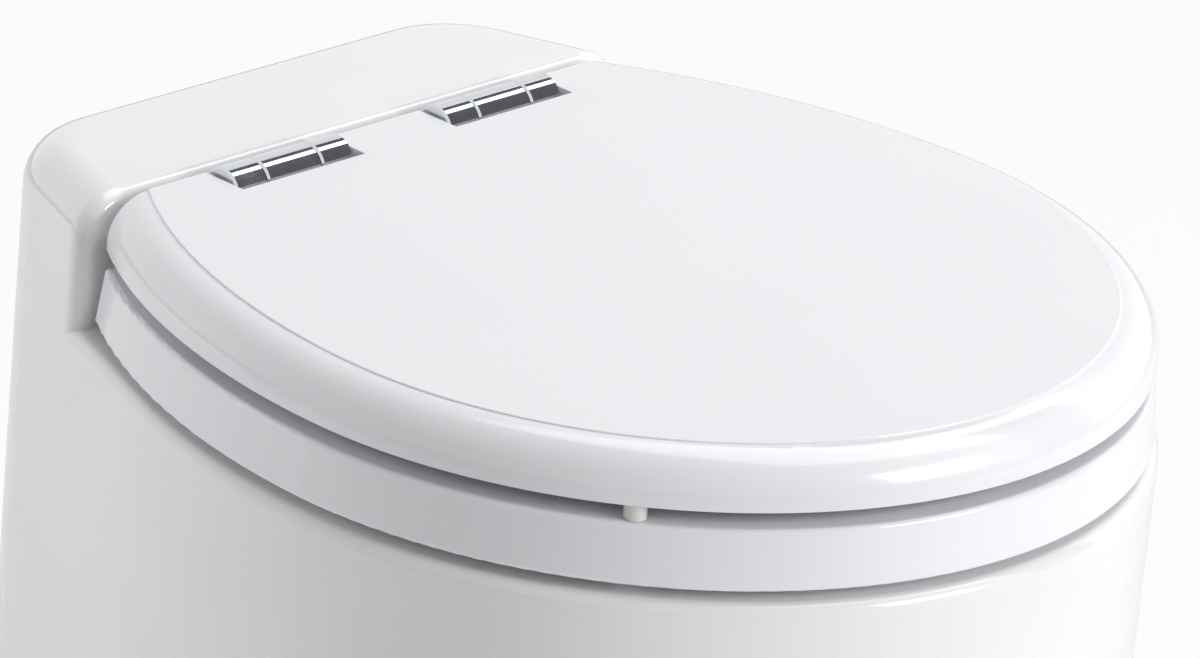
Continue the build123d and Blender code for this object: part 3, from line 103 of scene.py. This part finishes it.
# %% China finish
def vitreous_china():
    """Glaze over a slightly wavy body, with a bare and rough foot ring."""
    material, tree, shader, place = finish(
        "vitreous_china_glazed", "F3F3F4", 0.09, IOR=1.52, Coat_Weight=0.6,
        Coat_Roughness=0.03, Coat_IOR=1.5, Specular_IOR_Level=0.5)
    pooling = add(tree, "TexNoise", {"Vector": place, "Scale": per_metre(70), "Detail": 1.5,
                                     "Roughness": 0.4})
    orange_peel = add(tree, "TexNoise", {"Vector": place, "Scale": per_metre(5), "Detail": 2.0})
    tone = add(tree, "MapRange", {"Value": (pooling, "Fac"), "From Min": 0.3, "From Max": 0.7,
                                  "To Min": 0.0, "To Max": 1.0})
    glaze = add(tree, "Mix", {"Factor": (tone, "Result"), "A": linear("F1F1F2"),
                              "B": linear("F5F5F6")}, data_type="RGBA")
    height = add(tree, "SeparateXYZ", {"Vector": place})
    foot = add(tree, "MapRange", {"Value": (height, "Z"), "From Min": 0.0015, "From Max": 0.004,
                                  "To Min": 1.0, "To Max": 0.0})
    skin = add(tree, "Mix", {"Factor": (foot, "Result"), "A": (glaze, "Result"),
                             "B": linear("DCD8CF")}, data_type="RGBA")
    dull = add(tree, "MapRange", {"Value": (foot, "Result"), "From Min": 0.0, "From Max": 1.0,
                                  "To Min": 0.09, "To Max": 0.75})
    wave = add(tree, "Bump", {"Height": (pooling, "Fac"), "Strength": 0.06, "Distance": 0.004})
    peel = add(tree, "Bump", {"Height": (orange_peel, "Fac"), "Strength": 0.02,
                              "Distance": 0.0005, "Normal": (wave, "Normal")})
    tree.links.new(skin.outputs["Result"], shader.inputs["Base Color"])
    tree.links.new(dull.outputs["Result"], shader.inputs["Roughness"])
    tree.links.new(peel.outputs["Normal"], shader.inputs["Normal"])
    return material


finishes["vitreous_china"] = vitreous_china()
print("made", finishes["vitreous_china"].name)

# %% [markdown]
# ## Compression-moulded thermoset for the lid and seat
#
# Seats of this class are urea thermoset: denser and harder than ordinary plastic, with a
# polished mould surface. It is a touch cooler and more opaque than the china, its gloss
# is slightly softer, and years of wiping leave fine hair scratches that only show as a
# small change of roughness.


# %% Thermoset finish
def urea_thermoset():
    """A polished moulding with fine hair scratches in its gloss."""
    material, tree, shader, place = finish(
        "urea_thermoset_moulded", "F2F2F5", 0.16, IOR=1.55, Specular_IOR_Level=0.5,
        Coat_Weight=0.25, Coat_Roughness=0.08)
    stretched = add(tree, "Mapping", {"Vector": place, "Scale": (1.0, 6.0, 1.0),
                                      "Rotation": (0.0, 0.0, radians(20))})
    hairlines = add(tree, "TexNoise", {"Vector": (stretched, "Vector"), "Scale": per_metre(9),
                                       "Detail": 6.0, "Roughness": 0.7})
    worn = add(tree, "MapRange", {"Value": (hairlines, "Fac"), "From Min": 0.3, "From Max": 0.75,
                                  "To Min": 0.13, "To Max": 0.2})
    flow = add(tree, "TexNoise", {"Vector": place, "Scale": per_metre(120), "Detail": 1.0})
    skin = add(tree, "Mix", {"Factor": (flow, "Fac"), "A": linear("F0F0F4"),
                             "B": linear("F4F4F7")}, data_type="RGBA")
    wave = add(tree, "Bump", {"Height": (flow, "Fac"), "Strength": 0.03, "Distance": 0.004})
    tree.links.new(skin.outputs["Result"], shader.inputs["Base Color"])
    tree.links.new(worn.outputs["Result"], shader.inputs["Roughness"])
    tree.links.new(wave.outputs["Normal"], shader.inputs["Normal"])
    return material


finishes["urea_white"] = urea_thermoset()
print("made", finishes["urea_white"].name)

# %% [markdown]
# ## Chrome plate
#
# Bright chrome is a mirror with a cold blue-grey cast. Polishing before plating leaves
# the edges soft and the flats very slightly rippled, and handling leaves faint smears,
# so the roughness drifts between almost perfect and a little hazy.


# %% Chrome finish
def chrome_plate(name):
    """A cold mirror with a faint ripple and smears."""
    material, tree, shader, place = finish(name, "D2D5DA", 0.06, Metallic=1.0)
    smear = add(tree, "TexNoise", {"Vector": place, "Scale": per_metre(14), "Detail": 3.0})
    haze = add(tree, "MapRange", {"Value": (smear, "Fac"), "From Min": 0.35, "From Max": 0.75,
                                  "To Min": 0.04, "To Max": 0.12})
    ripple = add(tree, "Bump", {"Height": (smear, "Fac"), "Strength": 0.03, "Distance": 0.001})
    tree.links.new(haze.outputs["Result"], shader.inputs["Roughness"])
    tree.links.new(ripple.outputs["Normal"], shader.inputs["Normal"])
    return material


finishes["chromed_brass"] = chrome_plate("chrome_plate_on_brass")
finishes["chromed_zinc_post"] = chrome_plate("chrome_plate_on_zinc")
print("made", finishes["chromed_brass"].name, "and", finishes["chromed_zinc_post"].name)

# %% [markdown]
# ## Steels
#
# The plates, straps, screws, shafts and bearings differ mostly in how they were worked.
# Rolled and brushed strip carries long fine lines, ground bar is smoother with lines
# round it, and a passivated screw is plain and a little dull. One function takes the
# direction and spacing of the lines and how strong they are.


# %% Steel finishes
def worked_steel(name, colour, roughness, line_mm, along, depth):
    """Steel with tool marks: along is the stretch of the pattern on X, Y and Z."""
    material, tree, shader, place = finish(name, colour, roughness, Metallic=1.0)
    drawn = add(tree, "Mapping", {"Vector": place, "Scale": along})
    lines = add(tree, "TexNoise", {"Vector": (drawn, "Vector"), "Scale": per_metre(line_mm),
                                   "Detail": 5.0, "Roughness": 0.65})
    cloud = add(tree, "TexNoise", {"Vector": place, "Scale": per_metre(25), "Detail": 2.0})
    mixed = add(tree, "Math", {0: (lines, "Fac"), 1: (cloud, "Fac")}, operation="MULTIPLY")
    spread = add(tree, "MapRange", {"Value": (mixed, "Value"), "From Min": 0.1, "From Max": 0.45,
                                    "To Min": roughness * 0.75, "To Max": roughness * 1.35})
    marks = add(tree, "Bump", {"Height": (lines, "Fac"), "Strength": depth, "Distance": 0.0003})
    tree.links.new(spread.outputs["Result"], shader.inputs["Roughness"])
    tree.links.new(marks.outputs["Normal"], shader.inputs["Normal"])
    return material


long_x, long_z, even = (0.05, 1.0, 1.0), (1.0, 1.0, 0.05), (1.0, 1.0, 1.0)
# slot: name, colour, roughness, width of the lines in mm, their stretch, their depth
steels = {
    "stainless_pin": ("stainless_bar_ground", "B4B6B9", 0.22, 0.8, long_z, 0.15),
    "stainless_screw": ("stainless_screw_cold_headed", "ABADB0", 0.32, 1.5, even, 0.1),
    "stainless_strip": ("stainless_strip_rolled", "B0B2B5", 0.26, 0.7, long_x, 0.2),
    "stainless_plate": ("stainless_sheet_brushed", "A8AAAE", 0.34, 0.9, long_x, 0.25),
    "steel_plunger": ("ferritic_steel_turned", "9C9EA2", 0.28, 0.6, even, 0.15),
    "spring_steel": ("spring_wire_drawn", "8E9094", 0.3, 1.2, even, 0.1),
    "bearing_steel": ("bearing_steel_ground", "B2B5BA", 0.18, 0.6, even, 0.1),
}
for slot, values in steels.items():
    finishes[slot] = worked_steel(*values)
print("made", ", ".join(finishes[slot].name for slot in steels))

# %% [markdown]
# ## Rubber, soft plastics and hard plastics
#
# Moulded rubber is black with a dry, faintly mottled skin. Glass-filled nylon has a fine
# grain from the fibres near its surface. Unfilled nylon and acetal are off-white and
# waxy, so a little light passes under the skin. All of them are the same three things,
# a tone that drifts, a grain of a known size and a dull or waxy gloss, so one function
# makes them from those values.


# %% Moulded finishes
def moulded(name, dark, light, roughness, grain_mm, depth, ior, waxy=0.0):
    """A moulded rubber or plastic with a drifting tone and a fine grain."""
    material, tree, shader, place = finish(name, light, roughness, IOR=ior,
                                           Subsurface_Weight=waxy, Subsurface_Scale=0.002)
    drift = add(tree, "TexNoise", {"Vector": place, "Scale": per_metre(30), "Detail": 3.0})
    grain = add(tree, "TexNoise", {"Vector": place, "Scale": per_metre(grain_mm), "Detail": 4.0})
    skin = add(tree, "Mix", {"Factor": (drift, "Fac"), "A": linear(dark), "B": linear(light)},
               data_type="RGBA")
    gloss = add(tree, "MapRange", {"Value": (grain, "Fac"), "From Min": 0.3, "From Max": 0.7,
                                   "To Min": roughness * 0.85, "To Max": roughness * 1.15})
    skin_grain = add(tree, "Bump", {"Height": (grain, "Fac"), "Strength": depth,
                                    "Distance": 0.0004})
    tree.links.new(skin.outputs["Result"], shader.inputs["Base Color"])
    tree.links.new(gloss.outputs["Result"], shader.inputs["Roughness"])
    tree.links.new(skin_grain.outputs["Normal"], shader.inputs["Normal"])
    return material


# slot: name, darker and lighter tone, roughness, grain in mm, its depth, IOR, waxiness
mouldings = {
    "nylon_white": ("nylon_unfilled_moulded", "DEDAD0", "ECE8DE", 0.42, 1.2, 0.15, 1.53, 0.2),
    "acetal_white": ("acetal_moulded", "E8E8E4", "F2F2EE", 0.28, 1.5, 0.08, 1.48, 0.15),
    "tpe_clear": ("tpe_buffer_moulded", "D6D6D2", "E8E8E4", 0.38, 1.5, 0.1, 1.5, 0.4),
    "epdm_black": ("epdm_rubber_moulded", "141415", "1E1E20", 0.62, 0.9, 0.3, 1.52),
    "seal_carbon": ("carbon_seal_ground", "1A1A1A", "262626", 0.35, 0.7, 0.1, 1.6),
    "nylon_black": ("nylon_glass_filled_moulded", "17181A", "222427", 0.46, 0.8, 0.35, 1.53),
    "coil_epoxy": ("epoxy_coil_cast", "101113", "1B1C1F", 0.3, 2.0, 0.12, 1.55),
    "ferrite": ("ferrite_sintered", "262423", "33302E", 0.55, 0.7, 0.3, 1.9),
    "enamel_can": ("powder_coat_on_steel", "17181A", "1F2023", 0.4, 1.1, 0.45, 1.5),
}
for slot, values in mouldings.items():
    finishes[slot] = moulded(*values)
print("made", ", ".join(finishes[slot].name for slot in mouldings))

# %% [markdown]
# ## Braided hose
#
# The rinse hose is clear-to-white PVC over a polyester braid. The braid shows through as
# two sets of slanting threads. An image of a braid would need the hose unwrapped. Two wave
# textures with 4 mm bands that lean opposite ways and cross give the lattice without that,
# and the thicker of the two at each point stands proud.


# %% Hose finish
def braided_pvc():
    """A milky hose with two crossing sets of threads."""
    material, tree, shader, place = finish("pvc_hose_braided", "E6E8E8", 0.3, IOR=1.53,
                                           Subsurface_Weight=0.15, Subsurface_Scale=0.003)
    threads = []
    for lean in (38, -38):
        turned = add(tree, "Mapping", {"Vector": place, "Rotation": (0.0, radians(lean), 0.0)})
        threads.append(add(tree, "TexWave", {"Vector": (turned, "Vector"),
                                             "Scale": per_band(4), "Distortion": 0.3},
                           bands_direction="X"))
    lattice = add(tree, "Math", {0: (threads[0], "Fac"), 1: (threads[1], "Fac")},
                  operation="MAXIMUM")
    raised = add(tree, "MapRange", {"Value": (lattice, "Value"), "From Min": 0.85,
                                    "From Max": 1.0, "To Min": 0.0, "To Max": 1.0})
    skin = add(tree, "Mix", {"Factor": (raised, "Result"), "A": linear("DFE2E3"),
                             "B": linear("F4F4F2")}, data_type="RGBA")
    weave = add(tree, "Bump", {"Height": (raised, "Result"), "Strength": 0.25,
                               "Distance": 0.0004})
    tree.links.new(skin.outputs["Result"], shader.inputs["Base Color"])
    tree.links.new(weave.outputs["Normal"], shader.inputs["Normal"])
    return material


finishes["pvc_hose"] = braided_pvc()
print("made", finishes["pvc_hose"].name)

# %% [markdown]
# ## Laminated core and cast bronze
#
# The armature is a stack of varnished silicon-steel sheets, 0.5 mm each, drawn here at
# 1.5 mm so that the stack shows in a picture of the whole pump. The impeller is sand-cast
# gunmetal, so its bronze colour goes brown in the hollows of a coarse skin.


# %% Core and bronze finishes
def laminated_core():
    """Varnished sheets stacked along Z."""
    material, tree, shader, place = finish("silicon_steel_laminations", "8E7F6E", 0.4,
                                           Metallic=0.85)
    sheets = add(tree, "TexWave", {"Vector": place, "Scale": per_band(1.5)},
                 bands_direction="Z")
    varnish = add(tree, "Mix", {"Factor": (sheets, "Fac"), "A": linear("6B5440"),
                                "B": linear("A59C90")}, data_type="RGBA")
    edges = add(tree, "Bump", {"Height": (sheets, "Fac"), "Strength": 0.3, "Distance": 0.0003})
    tree.links.new(varnish.outputs["Result"], shader.inputs["Base Color"])
    tree.links.new(edges.outputs["Normal"], shader.inputs["Normal"])
    return material


def cast_bronze():
    """A coarse sand-cast skin, brown in its hollows."""
    material, tree, shader, place = finish("gunmetal_bronze_cast", "B08A4A", 0.35, Metallic=1.0)
    skin = add(tree, "TexNoise", {"Vector": place, "Scale": per_metre(2.5), "Detail": 6.0})
    tarnish = add(tree, "Mix", {"Factor": (skin, "Fac"), "A": linear("7C5A2C"),
                                "B": linear("C9A25E")}, data_type="RGBA")
    dents = add(tree, "Bump", {"Height": (skin, "Fac"), "Strength": 0.35, "Distance": 0.0005})
    tree.links.new(tarnish.outputs["Result"], shader.inputs["Base Color"])
    tree.links.new(dents.outputs["Normal"], shader.inputs["Normal"])
    return material


finishes["lamination"] = laminated_core()
finishes["bronze_impeller"] = cast_bronze()
print("made", finishes["lamination"].name, "and", finishes["bronze_impeller"].name)

# %% [markdown]
# ## Give every solid its finish
#
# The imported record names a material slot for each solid. Picking the objects by hand is
# quick for a few, but for this many it is safer to walk over the record. Each solid takes
# the finish of its slot, and the script stops at once if a slot has no finish yet.

# %% Assign the finishes
for part in record["subparts"]:
    solid = nodes[part["node"]]
    solid.data.materials.clear()
    solid.data.materials.append(finishes[part["material_slot"]])
print(f"{len(finishes)} finishes on {len(record['subparts'])} solids")

# %% [markdown]
# ## White surround
#
# The photograph is a cut-out on plain white. A white sphere round the scene would do, but
# a white sky is simpler and has no edge. At full strength it would light the object from
# every side and wash out its shading, so Light Path splits it: the camera, mirrors and
# glass see full white, and only about a third of that falls on the object.

# %% White surround
world = bpy.data.worlds.new("studio")
bpy.context.scene.world = world
world.use_nodes = True
sky = world.node_tree
sky.nodes.clear()
path = add(sky, "LightPath")
mirrored = add(sky, "Math", {0: (path, "Is Camera Ray"), 1: (path, "Is Glossy Ray")},
               operation="MAXIMUM")
seen = add(sky, "Math", {0: (mirrored, "Value"), 1: (path, "Is Transmission Ray")},
           operation="MAXIMUM")
fill = add(sky, "Background", {"Color": linear("F6F6F8"), "Strength": 0.34})
white = add(sky, "Background", {"Color": (1.0, 1.0, 1.0, 1.0), "Strength": 1.0})
either = add(sky, "MixShader", {0: (seen, "Value"), 1: (fill, "Background"),
                                2: (white, "Background")})
add(sky, "OutputWorld", {"Surface": (either, "Shader")})
print("white to the camera, mirrors and glass")

# %% [markdown]
# ## Floor
#
# The object needs something to stand on that catches a soft shadow and sends a little
# light back up under the skirt. A studio rolls out paper, and here one large plane is
# enough, because nobody sees its edge. Lit paper alone comes out grey beside the white
# sky, so most of what the camera sees of it is a plain glow, and the rest keeps the shadow.

# %% Floor
half_width, paper_roughness, glow_share = 6.0, 0.9, 0.85
floor_mesh = bpy.data.meshes.new("floor")
floor_mesh.from_pydata([(-half_width, -half_width, 0), (half_width, -half_width, 0),
                        (half_width, half_width, 0), (-half_width, half_width, 0)],
                       [], [(0, 1, 2, 3)])
floor = bpy.data.objects.new("floor", floor_mesh)
bpy.context.scene.collection.objects.link(floor)
paper = bpy.data.materials.new("studio_floor_paper")
paper.use_nodes = True
tree = paper.node_tree
shader = tree.nodes["Principled BSDF"]
shader.inputs["Base Color"].default_value = linear("F2F2F2")
shader.inputs["Roughness"].default_value = paper_roughness
glow = add(tree, "Emission", {"Color": (1.0, 1.0, 1.0, 1.0), "Strength": 1.0})
path = add(tree, "LightPath")
share = add(tree, "Math", {0: (path, "Is Camera Ray"), 1: glow_share}, operation="MULTIPLY")
blend = add(tree, "MixShader", {0: (share, "Value"), 1: (shader, "BSDF"),
                                2: (glow, "Emission")})
tree.links.new(blend.outputs["Shader"], tree.nodes["Material Output"].inputs["Surface"])
floor_mesh.materials.append(paper)
print(f"a paper floor, {2 * half_width:.0f} m across")

# %% [markdown]
# ## Lamps
#
# In the photograph the light comes mostly from the front right and from above: the deck
# and the right of the skirt are almost white and the left falls to a light grey. Studios
# use soft boxes for this, and an area lamp is the same thing. A sun or a point lamp would
# give hard shadows. The left rear panel isn't mirrored, because its reflection would draw
# a bright streak on the shoulder that the photograph doesn't have.


# %% Lamps
def soft_panel(name, place, target, size, watts, mirrored=True):
    """A square area lamp at a place, turned to face a target, mirrored in gloss or not."""
    lamp = bpy.data.lights.new(name, "AREA")
    lamp.energy = watts
    lamp.size = size
    panel = bpy.data.objects.new(name, lamp)
    panel.location = place
    panel.rotation_euler = (Vector(target) - Vector(place)).to_track_quat("-Z", "Y").to_euler()
    panel.visible_glossy = mirrored
    bpy.context.scene.collection.objects.link(panel)


middle = (0.0, 0.0, 0.25)
soft_panel("key_front", (0.9, -2.7, 1.5), middle, 1.2, 46)
soft_panel("top_soft", (1.1, 0.0, 2.4), middle, 2.2, 30)
soft_panel("left_rear", (-1.3, 2.4, 0.9), middle, 1.0, 22, mirrored=False)

# %% [markdown]
# ## Dark cards for the chrome
#
# Chrome only looks like chrome when it mirrors something dark beside something light.
# Studios stand dark cards just out of the picture for this. A barrel along X mirrors the
# camera's rays onto a cone about its own axis, so each card here is a slice of a ring
# about the hinge line, off to the right. The low slice gives the barrels their dark front
# band, the thin high one the dark line under the top highlight. They are seen in
# reflections only, so they take no light from the china.


# %% Cards
def ring_card(name, from_angle, to_angle, steps=12):
    """A slice of a ring about the hinge line, angles in degrees up from the front."""
    inner, outer, card_x, hinge_y, hinge_z = 0.65, 1.1, 0.8, 0.12, 0.43
    points, quads = [], []
    for step in range(steps + 1):
        angle = radians(from_angle + (to_angle - from_angle) * step / steps)
        for reach in (inner, outer):
            points.append((card_x, hinge_y - reach * cos(angle), hinge_z + reach * sin(angle)))
        if step:
            quads.append((2 * step - 2, 2 * step - 1, 2 * step + 1, 2 * step))
    mesh = bpy.data.meshes.new(name)
    mesh.from_pydata(points, [], quads)
    card = bpy.data.objects.new(name, mesh)
    card.visible_camera = card.visible_diffuse = card.visible_shadow = False
    bpy.context.scene.collection.objects.link(card)
    mesh.materials.append(card_grey)


card_grey = bpy.data.materials.new("card_grey")
card_grey.use_nodes = True
tree = card_grey.node_tree
tree.nodes.clear()
grey = add(tree, "Emission", {"Color": linear("66666B"), "Strength": 1.0})
add(tree, "OutputMaterial", {"Surface": (grey, "Emission")})
ring_card("card_low", -8, 80)
ring_card("card_line", 100, 120)
print("two dark cards about the hinge line")

# %% [markdown]
# ## Camera
#
# The viewing angle was found by fitting a pinhole camera to the edges of the lid, the
# seat and the hinge joints. It is a long lens, well back on the left and a little above,
# with a small roll to the right. The numbers are degrees, metres and pixels of the
# photograph's 1200-pixel width.

# %% Camera
turn, tilt, lean = radians(-47.93), radians(22.91), radians(5.34)
camera_place = Vector((-2.01157, -1.81018, 1.53864))
lens_pixels, frame_pixels, sensor_mm = 8005.0, 1200, 36.0
side = Vector((cos(turn), sin(turn), 0.0))
back = Vector((sin(turn) * cos(tilt), -cos(turn) * cos(tilt), sin(tilt)))
rise = back.cross(side)
right = side * cos(lean) + rise * sin(lean)
up = rise * cos(lean) - side * sin(lean)
pose = Matrix((right, up, back)).transposed().to_4x4()
pose.translation = camera_place
camera_data = bpy.data.cameras.new("camera")
camera_data.sensor_width = sensor_mm
camera_data.lens = lens_pixels * sensor_mm / frame_pixels
camera_data.clip_end = 50.0
camera = bpy.data.objects.new("camera", camera_data)
camera.matrix_world = pose
bpy.context.scene.collection.objects.link(camera)
bpy.context.scene.camera = camera
bpy.context.scene.view_settings.view_transform = "Standard"
print(f"lens {camera_data.lens:.1f} mm")
